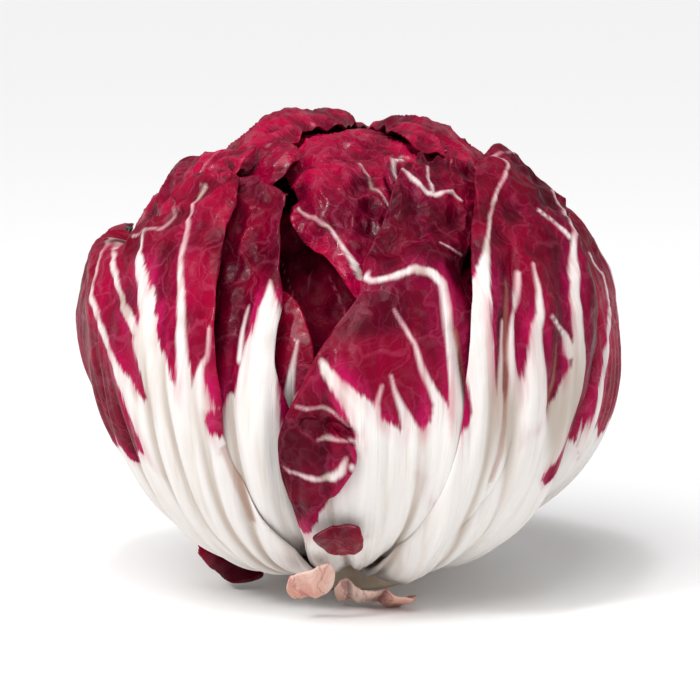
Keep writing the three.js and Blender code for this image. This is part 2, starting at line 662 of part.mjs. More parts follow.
/** The heart: a closed ball whose skin steps down where one inner leaf's margin ends on the next. */
function heartGeometry(map) {
  const turns = 28;
  const rings = 14;
  const points = [];
  const floor = HEART_FLOOR_Z - MIDDLE_Z;
  const lowest = THREE.MathUtils.radToDeg(Math.asin(floor / (BALL_RADIUS - HEART_INSET)));
  for (let j = 0; j <= rings; j += 1) {
    const elevation = THREE.MathUtils.lerp(lowest, HEART_TOP_ELEVATION, j / rings);
    for (let i = 0; i <= turns; i += 1) {
      const azimuth = (360 * (i % turns)) / turns;
      const direction = heading(azimuth, elevation);
      const turned = azimuth / HEART_WRAP + elevation / HEART_SLANT + HEART_TURN;
      const stepped = HEART_STEP * (THREE.MathUtils.euclideanModulo(turned, 1) - 0.5);
      const p = direction.multiplyScalar(skinRadius(direction) - HEART_INSET + stepped);
      p.z = j === 0 ? floor : Math.max(p.z, floor);
      points.push(p);
    }
  }
  noteSurface(map, points, turns, rings);
  const rim = points.length;
  points.push(new THREE.Vector3(0, 0, floor));
  points.push(new THREE.Vector3(0, 0, CROWN_HEIGHT - HEART_INSET));
  const faces = [];
  const at = (i, j) => j * (turns + 1) + (i % turns);
  for (let i = 0; i < turns; i += 1) {
    faces.push(rim, at(i + 1, 0), at(i, 0));
    faces.push(rim + 1, at(i, rings), at(i + 1, rings));
    for (let j = 0; j < rings; j += 1) {
      faces.push(at(i, j), at(i + 1, j), at(i + 1, j + 1));
      faces.push(at(i, j), at(i + 1, j + 1), at(i, j + 1));
    }
  }
  return facetGeometry(points, faces);
}

/** The stem: a short turned stub with a flat cut face at the bottom. */
function stemGeometry() {
  const profile = [
    [0, 0],
    [STEM_RADIUS - STEM_CHAMFER, 0],
    [STEM_RADIUS, STEM_CHAMFER],
    [STEM_RADIUS, STEM_HEIGHT - STEM_CHAMFER],
    [STEM_RADIUS - STEM_CHAMFER, STEM_HEIGHT],
    [0, STEM_HEIGHT],
  ].map(([x, y]) => new THREE.Vector2(x, y));
  return new THREE.LatheGeometry(profile, STEM_SIDES).rotateX(Math.PI / 2);
}

/** A named mesh with a plain material. */
function piece(name, geometry, color, roughness) {
  const material = new THREE.MeshStandardMaterial({ color, roughness, metalness: 0 });
  const mesh = new THREE.Mesh(geometry, material);
  mesh.name = name;
  return mesh;
}

const reached = new Map();
const head = new THREE.Group();
head.add(piece("stem", stemGeometry(), STEM_CREAM, 0.7));
head.add(piece("heart", heartGeometry(reached), LEAF_DARK, 0.5));
Object.entries(LEAVES).forEach(([name, leaf], index) => {
  leaf.phase = PHASE_STEP * index;
  leaf.grids = stationGrids(leaf.rows);
  const color = name === "scrap_low" || name === "scrap_husk" ? HUSK_PINK : LEAF_RED;
  head.add(piece(name, bladeGeometry(leaf, reached), color, 0.45));
});

export default head;
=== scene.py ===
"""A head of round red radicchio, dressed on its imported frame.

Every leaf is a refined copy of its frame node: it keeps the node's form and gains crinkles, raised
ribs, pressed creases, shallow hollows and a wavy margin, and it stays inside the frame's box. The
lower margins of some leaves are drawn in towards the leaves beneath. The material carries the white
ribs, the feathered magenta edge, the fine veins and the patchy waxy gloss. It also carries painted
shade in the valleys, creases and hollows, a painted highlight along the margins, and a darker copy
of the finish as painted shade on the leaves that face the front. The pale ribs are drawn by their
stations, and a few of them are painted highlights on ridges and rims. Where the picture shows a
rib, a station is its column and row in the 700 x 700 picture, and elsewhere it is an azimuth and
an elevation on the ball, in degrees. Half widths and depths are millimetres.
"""

import logging
import math
from dataclasses import dataclass, field
from enum import Enum

import bpy
import numpy as np
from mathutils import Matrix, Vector, noise
from mathutils.bvhtree import BVHTree
from mathutils.kdtree import KDTree


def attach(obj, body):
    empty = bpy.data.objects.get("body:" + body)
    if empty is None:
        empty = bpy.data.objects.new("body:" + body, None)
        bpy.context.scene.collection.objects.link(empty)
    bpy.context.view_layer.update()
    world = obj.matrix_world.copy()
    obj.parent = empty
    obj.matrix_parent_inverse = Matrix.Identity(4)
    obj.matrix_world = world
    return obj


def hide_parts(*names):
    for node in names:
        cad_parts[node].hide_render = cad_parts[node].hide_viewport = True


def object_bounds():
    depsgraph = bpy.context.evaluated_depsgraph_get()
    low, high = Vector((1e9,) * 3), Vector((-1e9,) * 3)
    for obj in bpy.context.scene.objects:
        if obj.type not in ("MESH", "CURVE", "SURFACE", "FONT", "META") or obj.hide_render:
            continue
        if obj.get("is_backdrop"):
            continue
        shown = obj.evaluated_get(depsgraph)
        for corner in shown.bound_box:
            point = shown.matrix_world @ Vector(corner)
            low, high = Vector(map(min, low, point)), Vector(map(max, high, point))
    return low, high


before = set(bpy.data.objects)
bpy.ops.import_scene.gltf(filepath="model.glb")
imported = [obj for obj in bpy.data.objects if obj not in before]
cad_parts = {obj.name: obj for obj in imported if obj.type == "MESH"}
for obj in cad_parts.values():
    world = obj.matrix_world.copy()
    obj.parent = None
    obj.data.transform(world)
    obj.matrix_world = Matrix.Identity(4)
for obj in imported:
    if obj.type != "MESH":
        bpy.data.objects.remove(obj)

MM = 0.001
BALL_RADIUS = 60.6
BALL_MIDDLE = np.array((0.0, 0.0, 52.1))
BODY = "root"
FRAME_LOW, FRAME_HIGH = (np.array(corner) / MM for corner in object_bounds())
WELD_METRES = 0.00002
QUAD_ANGLE = 0.9
MARGIN_COSINE = 0.35
MARGIN_PITCH = 0.8
MARGIN_FADE = 3.0
CREASE_WIDTH = 1.3
FOOT_GIRTH = 8.0
FOLD_MEAN, GROOVE_MEAN, PLEAT_MEAN = 0.2, 0.25, 0.22
PLEAT_SINK = 0.3
OFF_EVERY_STREAK = 40.0
UNREACHED = 1e3
TINY = 1e-9
PIXELS_APART, DEGREES_APART = 9.0, 5.0

Station = tuple[float, float, float]
Tint = tuple[int, int, int]

log = logging.getLogger("radicchio")


class Survey(Enum):
    """How a rib's stations are given."""

    PICTURE = "picture"
    GLOBE = "globe"


class Layer(Enum):
    """Where in the head a leaf lies, which sets how far it is crinkled."""

    OUTER = 0.85
    INNER = 0.95
    CROWN = 1.2
    SCRAP = 1.3


class Weave(Enum):
    """How finely a pattern runs: its swells in one unit of what it is read by, each way."""

    GRAIN = (0.45, 0.035, 1.0)
    LINES = (0.6, 0.05, 1.0)
    THREADS = (2.2, 0.12, 1.0)
    FINE_LINES = (1.9, 0.07, 1.0)
    COARSE_CELLS = (0.17, 0.08, 1.0)
    SMALL_CELLS = (0.42, 0.25, 1.0)
    PATCHES = (60.0, 60.0, 60.0)
    CRINKLES = (260.0, 260.0, 260.0)


@dataclass(frozen=True)
class Drape:
    """How a lower margin sinks. Lengths are millimetres, and fade is degrees of elevation."""

    start: float = 0.05
    thickest_blade: float = 4.0
    search: float = 14.0
    clearance: float = 0.35
    limit: float = 6.0
    band: float = 11.0
    full_band: float = 2.0
    fade: float = 14.0


DRAPE = Drape()


def heading(azimuth: float, elevation: float) -> np.ndarray:
    """The unit vector towards an azimuth, 0 at the front and 90 on the right, and an elevation."""
    a, e = math.radians(azimuth), math.radians(elevation)
    return np.array((math.cos(e) * math.sin(a), -math.cos(e) * math.cos(a), math.sin(e)))


def ramp(values: np.ndarray, low: float, high: float) -> np.ndarray:
    """A smooth step from 0 at low to 1 at high, which may be below low."""
    t = np.clip((values - low) / (high - low), 0.0, 1.0)
    return t * t * (3.0 - 2.0 * t)


def linear(tint: Tint) -> tuple[float, float, float, float]:
    """A colour of 8-bit sRGB numbers as the linear colour that a socket takes.

    Args:
        tint: Red, green and blue from 0 to 255.

    Returns:
        The linear colour with an alpha of 1.
    """
    parts = []
    for part in tint:
        value = part / 255.0
        parts.append(value / 12.92 if value <= 0.04045 else ((value + 0.055) / 1.055) ** 2.4)
    return (parts[0], parts[1], parts[2], 1.0)


@dataclass(frozen=True)
class Swell:
    """Uneven noise: its swells in one unit, its pattern's shift and its height in millimetres."""

    pitch: float
    seed: float
    height: float

    def over(self, places: np.ndarray) -> np.ndarray:
        """The noise at rows of three coordinates, from about -1 to 1."""
        shifted = places * self.pitch + self.seed
        return np.array([noise.noise(place) for place in shifted.tolist()])


BROAD, FOLDS, SMALL = Swell(5.0, 3.1, 1.0), Swell(9.0, 11.3, 2.8), Swell(19.0, 5.9, 0.8)
GROOVES, PLEATS = Swell(6.5, 2.3, 3.8), Swell(15.0, 9.1, 1.2)
FOOT_WANDER, MARGIN_WAVE = Swell(9.0, 4.4, 7.0), Swell(0.16, 7.7, 0.5)


@dataclass(frozen=True)
class Viewpoint:
    """Where the picture was taken from, in millimetres and degrees."""

    distance: float = 700.0
    elevation: float = 8.0
    aim_height: float = 51.5
    picture_side: int = 700
    pixel: float = 0.22
    sensor: float = 36.0

    def eye(self) -> Vector:
        """The eye's place."""
        e = math.radians(self.elevation)
        away = Vector((0.0, -math.cos(e), math.sin(e))) * self.distance
        return Vector((0.0, 0.0, self.aim_height)) + away

    def ray(self, column: float, line: float) -> Vector:
        """The direction that a place in the picture is seen in.

        Args:
            column: Pixels from the picture's left side.
            line: Pixels from its top.

        Returns:
            A unit vector from the eye.
        """
        e = math.radians(self.elevation)
        ahead = Vector((0.0, math.cos(e), -math.sin(e)))
        upward = Vector((0.0, math.sin(e), math.cos(e)))
        half = self.picture_side / 2
        step = self.pixel / self.distance
        across = Vector((1.0, 0.0, 0.0)) * (column - half) * step
        return (ahead + across + upward * (half - line) * step).normalized()

    def lens(self) -> float:
        """The focal length that gives the picture's frame."""
        return self.sensor * self.distance / (self.picture_side * self.pixel)


VIEW = Viewpoint()


@dataclass(frozen=True)
class Streak:
    """A pale rib, vein or crease: its stations from tip to foot, each with a half width."""

    stations: tuple[Station, ...]
    survey: Survey = Survey.PICTURE

    def finer(self) -> list[Station]:
        """The stations with more set between them, so that the line follows a curved leaf.

        Returns:
            The finer list of stations.
        """
        longest = PIXELS_APART if self.survey is Survey.PICTURE else DEGREES_APART
        result = [self.stations[0]]
        for start, end in zip(self.stations, self.stations[1:]):
            apart = math.hypot(end[0] - start[0], end[1] - start[1])
            parts = max(1, math.ceil(apart / longest))
            for i in range(1, parts + 1):
                t = i / parts
                result.append(tuple(a + t * (b - a) for a, b in zip(start, end)))
        return result

    def places(self, surface: BVHTree) -> tuple[np.ndarray, np.ndarray]:
        """The stations' places on a leaf.

        Args:
            surface: The leaf's faces, in millimetres.

        Returns:
            The places, measured from the ball's middle, and the half widths.
        """
        middle = Vector(BALL_MIDDLE)
        found, widths = [], []
        for a, b, width in self.finer():
            if self.survey is Survey.PICTURE:
                start, direction = VIEW.eye(), VIEW.ray(a, b)
            else:
                start, direction = middle, Vector(heading(a, b))
            hit = surface.ray_cast(start, direction)[0]
            if hit is None:
                near = start + direction * max(BALL_RADIUS, (middle - start).dot(direction))
                hit = surface.find_nearest(near)[0]
            found.append(np.array(hit) - BALL_MIDDLE)
            widths.append(width)
        return np.array(found), np.array(widths)


def globe(*stations: Station) -> Streak:
    """A streak whose stations are azimuths and elevations."""
    return Streak(stations, Survey.GLOBE)


def seen(*stations: Station) -> Streak:
    """A streak whose stations are columns and rows of the picture."""
    return Streak(stations)


def spread_out(places: np.ndarray, depth_weight: float) -> np.ndarray:
    """Places as directions on the ball, with their weighted distance from its middle fourth."""
    reach = np.linalg.norm(places, axis=1, keepdims=True)
    return np.hstack((places / reach * BALL_RADIUS, reach * depth_weight))


def off_line(
    points: np.ndarray, line: np.ndarray, widths: np.ndarray
) -> tuple[np.ndarray, np.ndarray]:
    """How far points are outside a line that has a half width at each of its own points.

    Args:
        points: Rows of coordinates.
        line: The line's points, in the same coordinates.
        widths: The half width at each of them.

    Returns:
        The distances, below 0 inside the line, and the half widths at the nearest places.
    """
    best = np.full(len(points), UNREACHED)
    girth = np.zeros(len(points))
    for i in range(len(line) - 1):
        way = line[i + 1] - line[i]
        length = float(way @ way)
        t = np.clip((points - line[i]) @ way / max(length, TINY), 0.0, 1.0)
        gap = np.linalg.norm(points - line[i] - t[:, None] * way, axis=1)
        width = widths[i] + t * (widths[i + 1] - widths[i])
        nearer = gap - width < best
        best = np.where(nearer, gap - width, best)
        girth = np.where(nearer, width, girth)
    return best, girth


class Wire:
    """A shader number. Sums of wires and numbers add the Math nodes for them."""

    def __init__(self, bench: "Bench", socket: bpy.types.NodeSocket) -> None:
        """Wraps an output socket of a bench."""
        self.bench = bench
        self.socket = socket

    def _maths(self, operation: str, first: object, second: object) -> "Wire":
        """One Math node on two wires or numbers."""
        node = self.bench.node("ShaderNodeMath", {"operation": operation}, {0: first, 1: second})
        return Wire(self.bench, node.outputs[0])

    def __add__(self, other: object) -> "Wire":
        """The sum."""
        return self._maths("ADD", self, other)

    def __radd__(self, other: object) -> "Wire":
        """The sum, with the wire second."""
        return self._maths("ADD", other, self)

    def __sub__(self, other: object) -> "Wire":
        """The difference."""
        return self._maths("SUBTRACT", self, other)

    def __rsub__(self, other: object) -> "Wire":
        """The difference, with the wire second."""
        return self._maths("SUBTRACT", other, self)

    def __mul__(self, other: object) -> "Wire":
        """The product."""
        return self._maths("MULTIPLY", self, other)

    def step(self, low: float, high: float) -> "Wire":
        """A smooth step of the wire, 0 at low and 1 at high.

        Args:
            low: Where the step is 0.
            high: Where the step is 1.

        Returns:
            The stepped wire.
        """
        if high < low:
            return 1.0 - self.step(high, low)
        node = self.bench.node(
            "ShaderNodeMapRange",
            {"interpolation_type": "SMOOTHSTEP"},
            {"Value": self, "From Min": low, "From Max": high},
        )
        return Wire(self.bench, node.outputs[0])


class Bench:
    """A material in the making."""

    def __init__(self, name: str) -> None:
        """Starts a material with a shader and an output.

        Args:
            name: The material's name.
        """
        self.material = bpy.data.materials.new(name)
        self.material.use_nodes = True
        self.tree = self.material.node_tree
        self.tree.nodes.clear()
        self.shader = self.node("ShaderNodeBsdfPrincipled", {}, {})
        self.node("ShaderNodeOutputMaterial", {}, {"Surface": self.shader.outputs[0]})

    def node(self, kind: str, settings: dict, values: dict) -> bpy.types.Node:
        """Adds a node.

        Args:
            kind: The node's type.
            settings: Its settings, by name.
            values: Its inputs' values or links, by name or place.

        Returns:
            The node.
        """
        node = self.tree.nodes.new(kind)
        for name, setting in settings.items():
            setattr(node, name, setting)
        for name, value in values.items():
            self.feed(node.inputs[name], value)
        return node

    def feed(self, socket: bpy.types.NodeSocket, value: object) -> None:
        """Gives a socket a link or a value.

        Args:
            socket: The input.
            value: A wire, an output or a plain value.
        """
        if isinstance(value, Wire):
            value = value.socket
        if isinstance(value, bpy.types.NodeSocket):
            self.tree.links.new(value, socket)
        else:
            socket.default_value = value

    def number(self, name: str) -> Wire:
        """The leaf's own number of that name."""
        node = self.node("ShaderNodeAttribute", {"attribute_name": name}, {})
        return Wire(self, node.outputs["Fac"])

    def vector(self, name: str) -> bpy.types.NodeSocket:
        """The leaf's own vector of that name."""
        return self.node("ShaderNodeAttribute", {"attribute_name": name}, {}).outputs["Vector"]

    def place(self) -> bpy.types.NodeSocket:
        """The place on the object, in metres."""
        return self.node("ShaderNodeTexCoord", {}, {}).outputs["Object"]

    def scaled(self, vector: object, by: tuple[float, float, float]) -> bpy.types.NodeSocket:
        """A vector with each part scaled."""
        node = self.node("ShaderNodeVectorMath", {"operation": "MULTIPLY"}, {0: vector, 1: by})
        return node.outputs[0]

    def moved(self, vector: object, by: object) -> bpy.types.NodeSocket:
        """The sum of two vectors."""
        node = self.node("ShaderNodeVectorMath", {"operation": "ADD"}, {0: vector, 1: by})
        return node.outputs[0]

    def cloud(self, vector: object, detail: float = 2.0, distortion: float = 0.0) -> Wire:
        """Soft noise from 0 to 1.

        Args:
            vector: Where it is read; one swell takes one unit.
            detail: How many finer layers it has.
            distortion: How far it is bent.

        Returns:
            The noise.
        """
        values = {"Vector": vector, "Scale": 1.0, "Detail": detail, "Distortion": distortion}
        return Wire(self, self.node("ShaderNodeTexNoise", {}, values).outputs[0])

    def cells(self, vector: object) -> Wire:
        """How far a place is from the nearest wall of a network of uneven cells.

        Args:
            vector: Where it is read; one cell takes about one unit.

        Returns:
            The distance, 0 on a wall.
        """
        settings = {"feature": "DISTANCE_TO_EDGE"}
        values = {"Vector": vector, "Scale": 1.0, "Randomness": 0.9}
        return Wire(self, self.node("ShaderNodeTexVoronoi", settings, values).outputs["Distance"])

    def mixed(self, factor: object, first: object, second: object) -> bpy.types.NodeSocket:
        """A colour between two colours.

        Args:
            factor: 0 for the first, 1 for the second.
            first: A colour or its socket.
            second: A colour or its socket.

        Returns:
            The mixed colour.
        """
        settings = {"data_type": "RGBA", "clamp_factor": True}
        node = self.node("ShaderNodeMix", settings, {"Factor": factor, 6: first, 7: second})
        return node.outputs[2]

    def relief(self, height: Wire) -> bpy.types.NodeSocket:
        """A normal that shows a relief, given in millimetres."""
        values = {"Strength": 1.0, "Distance": MM, "Height": height}
        return self.node("ShaderNodeBump", {}, values).outputs[0]

    def close(self, colour: object, roughness: object, normal: object, fixed: dict) -> None:
        """Links what changes over the surface to the shader, and sets the rest on it.

        Args:
            colour: The base colour.
            roughness: The roughness.
            normal: The normal.
            fixed: The shader's constant inputs, by name.
        """
        self.feed(self.shader.inputs["Base Color"], colour)
        self.feed(self.shader.inputs["Roughness"], roughness)
        self.feed(self.shader.inputs["Normal"], normal)
        for name, value in fixed.items():
            self.shader.inputs[name].default_value = value


@dataclass(frozen=True)
class LeafFinish:
    """A leaf's colours and gloss, with its pattern's sizes in millimetres."""

    name: str
    lamina: Tint = (140, 0, 42)
    shade: Tint = (98, 0, 26)
    # Painted shade in the sunken valleys of the crinkles and pleats.
    valley_shade_tint: Tint = (56, 0, 16)
    blush: Tint = (166, 14, 76)
    flesh: Tint = (219, 215, 212)
    flesh_shade: Tint = (198, 186, 172)
    # Painted shade in the pleat valleys of the pale flesh.
    groove_shade_tint: Tint = (150, 128, 106)
    # Painted shade in the pressed creases.
    crease_shade_tint: Tint = (150, 100, 80)
    vein: Tint = (196, 84, 118)
    # Painted highlight along the margin.
    rim: Tint = (160, 36, 72)
    roughness: float = 0.4
    coat: float = 0.06
    specular: float = 0.05
    coat_roughness: float = 0.18
    vein_strength: float = 0.14
    relief: float = 0.3
    feather: float = 0.9

    def make(self) -> bpy.types.Material:
        """Builds the material.

        Returns:
            The material.
        """
        bench = Bench(self.name)
        fan, place = bench.vector("fan"), bench.place()
        white, girth = bench.number("white"), bench.number("girth")
        pale, veins, fine = self.masks(bench, fan, white, girth)
        grain = bench.cloud(bench.scaled(fan, Weave.GRAIN.value), 3.0)
        patches = bench.cloud(bench.scaled(place, Weave.PATCHES.value), 3.0, 0.4)
        crinkle = bench.cloud(bench.scaled(place, Weave.CRINKLES.value), 3.0, 0.8)

        red = bench.mixed(patches.step(0.34, 0.66), linear(self.shade), linear(self.lamina))
        near = white.step(4.5, 0.0) * girth.step(0.2, 1.6)
        red = bench.mixed(near * (0.35 + grain.step(0.35, 0.65) * 0.6), red, linear(self.blush))
        red = bench.mixed(grain.step(0.55, 0.8) * 0.22, red, linear(self.blush))
        # Painted shade: the red darkens where the crinkles and pleats sink.
        painted_valley_shade = bench.number("painted_valley_shade")
        red = bench.mixed(painted_valley_shade * 0.6, red, linear(self.valley_shade_tint))
        red = bench.mixed(veins * self.vein_strength, red, linear(self.vein))
        # Painted highlight: a lighter tint along the leaf's margin.
        rim = bench.number("margin").step(0.5, 0.1)
        red = bench.mixed(rim * 0.4, red, linear(self.rim))

        shading = grain.step(0.45, 0.75) * 0.45
        flesh = bench.mixed(shading, linear(self.flesh), linear(self.flesh_shade))
        flesh = bench.mixed(fine * 0.22, flesh, linear(self.flesh_shade))
        stain = white.step(-3.4, 0.3) * (0.12 + grain.step(0.4, 0.7) * 0.45)
        flesh = bench.mixed(stain, flesh, linear(self.blush))
        flesh = bench.mixed(girth.step(0.8, 0.2) * 0.4, flesh, linear(self.vein))
        # Painted shade: the pale flesh darkens to beige in the sunken pleat valleys.
        flesh = bench.mixed(painted_valley_shade * 0.6, flesh, linear(self.groove_shade_tint))
        colour = bench.mixed(pale, red, flesh)
        # Painted shade: the pressed creases are darkened towards a brown tint.
        crease = bench.number("crease").step(0.8, 0.0)
        colour = bench.mixed(crease * 0.5, colour, linear(self.crease_shade_tint))
        # Painted shade: the pressed hollows are darkened towards the shade tint.
        colour = bench.mixed(bench.number("hollow") * 0.55, colour, linear(self.shade))

        height = veins * (1.0 - pale) * (0.3 * self.relief)
        height = height + crinkle * (1.0 - pale * 0.8) * (self.relief * 1.3)
        height = height + fine * pale * 0.05 + pale * 0.12
        rough = self.roughness + (crinkle - 0.5) * 0.16 + pale * 0.08
        gloss = crinkle.step(0.45, 0.62) * (2.6 * self.coat) + 0.3 * self.coat
        bench.feed(bench.shader.inputs["Coat Weight"], gloss)
        fixed = {
            "Coat Roughness": self.coat_roughness,
            "Specular IOR Level": self.specular,
            "Subsurface Weight": 0.08,
            "Subsurface Radius": (0.003, 0.0014, 0.0012),
            "Subsurface Scale": 0.5,
        }
        bench.close(colour, rough, bench.relief(height), fixed)
        return bench.material

    def masks(
        self, bench: Bench, fan: bpy.types.NodeSocket, white: Wire, girth: Wire
    ) -> tuple[Wire, Wire, Wire]:
        """The ribs, the vein network and the fine lines of the flesh.

        Args:
            bench: The material's bench.
            fan: The fan coordinates.
            white: How far a place is outside the nearest rib.
            girth: That rib's half width.

        Returns:
            Three masks from 0 to 1.
        """
        lines = bench.cloud(bench.scaled(fan, Weave.LINES.value), 4.0)
        threads = bench.cloud(bench.scaled(fan, Weave.THREADS.value), 2.0)
        wander = (lines - 0.5) * 4.0 + (threads - 0.5) * 2.4
        edge = white + wander * (0.15 + girth.step(0.3, 3.0) * self.feather)
        pale = edge.step(0.45, -0.55)
        bend = bench.node("ShaderNodeTexNoise", {}, {"Vector": fan, "Scale": 0.16, "Detail": 3.0})
        bent = bench.moved(fan, bench.scaled(bend.outputs["Color"], (9.0, 9.0, 0.0)))
        coarse = bench.cells(bench.scaled(bent, Weave.COARSE_CELLS.value)).step(0.05, 0.0)
        small = bench.cells(bench.scaled(bent, Weave.SMALL_CELLS.value)).step(0.08, 0.0)
        veins = coarse + small * 0.4
        fine = bench.cloud(bench.scaled(fan, Weave.FINE_LINES.value), 2.0).step(0.52, 0.75)
        return pale, veins, fine


def skin_of(nodes: tuple[str, ...]) -> BVHTree:
    """The surface of some frame nodes together, in millimetres.

    Args:
        nodes: The nodes' names.

    Returns:
        The surface's faces for ray casts.
    """
    corners, faces = [], []
    for name in nodes:
        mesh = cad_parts[name].data
        start = len(corners)
        corners.extend(vertex.co / MM for vertex in mesh.vertices)
        faces.extend(tuple(start + i for i in polygon.vertices) for polygon in mesh.polygons)
    return BVHTree.FromPolygons(corners, faces)


@dataclass
class Leaf:
    """A leaf: the node that it refines, its ribs and its finish."""

    node: str
    piece: str
    slot: str
    layer: Layer
    finish: LeafFinish
    ribs: tuple[Streak, ...] = ()
    creases: tuple[Streak, ...] = ()
    hollows: tuple[Streak, ...] = ()
    pale_below: float = -34.0
    centre: float = 0.0
    root: tuple[float, float] = (0.0, -90.0)
    far: tuple[float, float] | None = None
    rests_on: tuple[str, ...] = ()
    settles_below: float = 2.0
    refining: int = 3
    depth_weight: float = 0.35
    rib_height: float = 0.35
    crease_depth: float = 0.7
    hollow_depth: float = 2.2
    obj: bpy.types.Object = field(init=False)
    surface: BVHTree = field(init=False)
    margin: KDTree = field(init=False)

    def build(self) -> bpy.types.Object:
        """Makes the leaf.

        Returns:
            The finished piece.
        """
        self.copy_node()
        self.survey_margin()
        if self.rests_on:
            self.settle()
            self.survey_margin()
        self.refine()
        self.sculpt_and_mark()
        self.obj.data.materials.clear()
        self.obj.data.materials.append(self.finish.make())
        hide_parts(self.node)
        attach(self.obj, BODY)
        return self.obj

    def copy_node(self) -> None:
        """Copies the node's mesh and makes it one closed skin of quads."""
        self.obj = bpy.data.objects.new(self.piece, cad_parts[self.node].data.copy())
        bpy.context.scene.collection.objects.link(self.obj)
        bpy.ops.object.select_all(action="DESELECT")
        self.obj.select_set(True)
        bpy.context.view_layer.objects.active = self.obj
        bpy.ops.object.mode_set(mode="EDIT")
        bpy.ops.mesh.select_all(action="SELECT")
        bpy.ops.mesh.remove_doubles(threshold=WELD_METRES)
        bpy.ops.mesh.tris_convert_to_quads(
            face_threshold=QUAD_ANGLE, shape_threshold=QUAD_ANGLE
        )
        bpy.ops.object.mode_set(mode="OBJECT")

    def survey_margin(self) -> None:
        """Notes where the blade's edge runs, from the faces that meet there at a steep angle."""
        mesh = self.obj.data
        faces: dict[tuple[int, int], list[Vector]] = {}
        for polygon in mesh.polygons:
            for key in polygon.edge_keys:
                faces.setdefault(key, []).append(polygon.normal)
        places = []
        for (a, b), normals in faces.items():
            if len(normals) == 2 and normals[0].dot(normals[1]) < MARGIN_COSINE:
                start, end = mesh.vertices[a].co / MM, mesh.vertices[b].co / MM
                parts = max(1, math.ceil((end - start).length / MARGIN_PITCH))
                places.extend(start.lerp(end, i / parts) for i in range(parts + 1))
        self.margin = KDTree(max(1, len(places)))
        for index, place in enumerate(places):
            self.margin.insert(place, index)
        self.margin.balance()

    def settle(self) -> None:
        """Sinks the lower margin towards the leaves beneath, so that the pale feet lie close."""
        mesh = self.obj.data
        middle = Vector(BALL_MIDDLE)
        beneath = skin_of(self.rests_on)
        places = [vertex.co / MM for vertex in mesh.vertices]
        own = BVHTree.FromPolygons(places, [tuple(p.vertices) for p in mesh.polygons])
        inward = [(middle - place).normalized() for place in places]
        spare = np.zeros(len(places))
        for i, (place, way) in enumerate(zip(places, inward)):
            inside = place + way * DRAPE.start
            blade = own.ray_cast(inside, way, DRAPE.thickest_blade)[3] or 0.0
            reach = beneath.ray_cast(place, way, DRAPE.search)[3]
            if reach is not None:
                spare[i] = min(max(reach - blade - DRAPE.clearance, 0.0), DRAPE.limit)
        rim = np.array([self.margin.find(place)[2] for place in places])
        rise = np.degrees(np.arcsin([-way.z for way in inward]))
        near = ramp(rim, DRAPE.band, DRAPE.full_band)
        spare *= near * ramp(rise, self.settles_below, self.settles_below - DRAPE.fade)
        total, count = spare.copy(), np.ones(len(places))
        for edge in mesh.edges:
            a, b = edge.vertices
            total[a] += spare[b]
            total[b] += spare[a]
            count[a] += 1
            count[b] += 1
        for vertex, place, way, sink in zip(mesh.vertices, places, inward, total / count):
            vertex.co = (place + way * float(sink)) * MM

    def refine(self) -> None:
        """Rounds the facets by subdivision."""
        modifier = self.obj.modifiers.new("rounded", "SUBSURF")
        modifier.levels = self.refining
        modifier.render_levels = self.refining
        bpy.ops.object.modifier_apply(modifier=modifier.name)
        mesh = self.obj.data
        corners = [vertex.co / MM for vertex in mesh.vertices]
        self.surface = BVHTree.FromPolygons(corners, [tuple(p.vertices) for p in mesh.polygons])

    def lines(
        self, points: np.ndarray, streaks: tuple[Streak, ...]
    ) -> tuple[np.ndarray, np.ndarray]:
        """How far points are outside the nearest of some streaks.

        Args:
            points: The points from spread_out.
            streaks: The streaks.

        Returns:
            The distances and the nearest streak's half widths, in millimetres.
        """
        best = np.full(len(points), OFF_EVERY_STREAK)
        girth = np.zeros(len(points))
        for streak in streaks:
            places, widths = streak.places(self.surface)
            line = spread_out(places, self.depth_weight)
            distance, width = off_line(points, line, widths)
            girth = np.where(distance < best, width, girth)
            best = np.minimum(best, distance)
        return best, girth

    def fan(self, directions: np.ndarray) -> np.ndarray:
        """Coordinates across and along the growth of the leaf, in millimetres.

        Args:
            directions: Unit vectors from the ball's middle.

        Returns:
            Rows of across, along and 0.
        """
        root = heading(*self.root)
        far = heading(*(self.far or (self.centre + 180.0, 55.0)))
        axis = (far - root) / np.linalg.norm(far - root)
        ahead = heading(self.centre, 0.0)
        ahead = ahead - (ahead @ axis) * axis
        ahead /= np.linalg.norm(ahead)
        side = np.cross(axis, ahead)
        way = directions - root
        across = np.arctan2(way @ side, way @ ahead) * BALL_RADIUS
        along = np.arccos(np.clip(directions @ root, -1.0, 1.0)) * BALL_RADIUS
        return np.stack((across, along, np.zeros_like(along)), axis=1)

    def sculpt_and_mark(self) -> None:
        """Moves the vertices in and out and writes the leaf's own numbers."""
        mesh = self.obj.data
        count = len(mesh.vertices)
        flat = np.empty(count * 3)
        mesh.vertices.foreach_get("co", flat)
        places = flat.reshape(-1, 3) / MM - BALL_MIDDLE
        reach = np.linalg.norm(places, axis=1, keepdims=True)
        directions = places / reach
        points = spread_out(places, self.depth_weight)

        white, girth = self.lines(points, self.ribs)
        elevation = np.degrees(np.arcsin(directions[:, 2]))
        foot = (elevation - self.pale_below) * math.radians(BALL_RADIUS)
        foot += FOOT_WANDER.height * FOOT_WANDER.over(directions * (1.0, 1.0, 0.15))
        girth = np.where(foot < white, FOOT_GIRTH, girth)
        white = np.minimum(white, foot)
        crease = self.lines(points, self.creases)[0]
        middle = Vector(BALL_MIDDLE)
        rim = np.array([self.margin.find(Vector(p) + middle)[2] for p in places.tolist()])

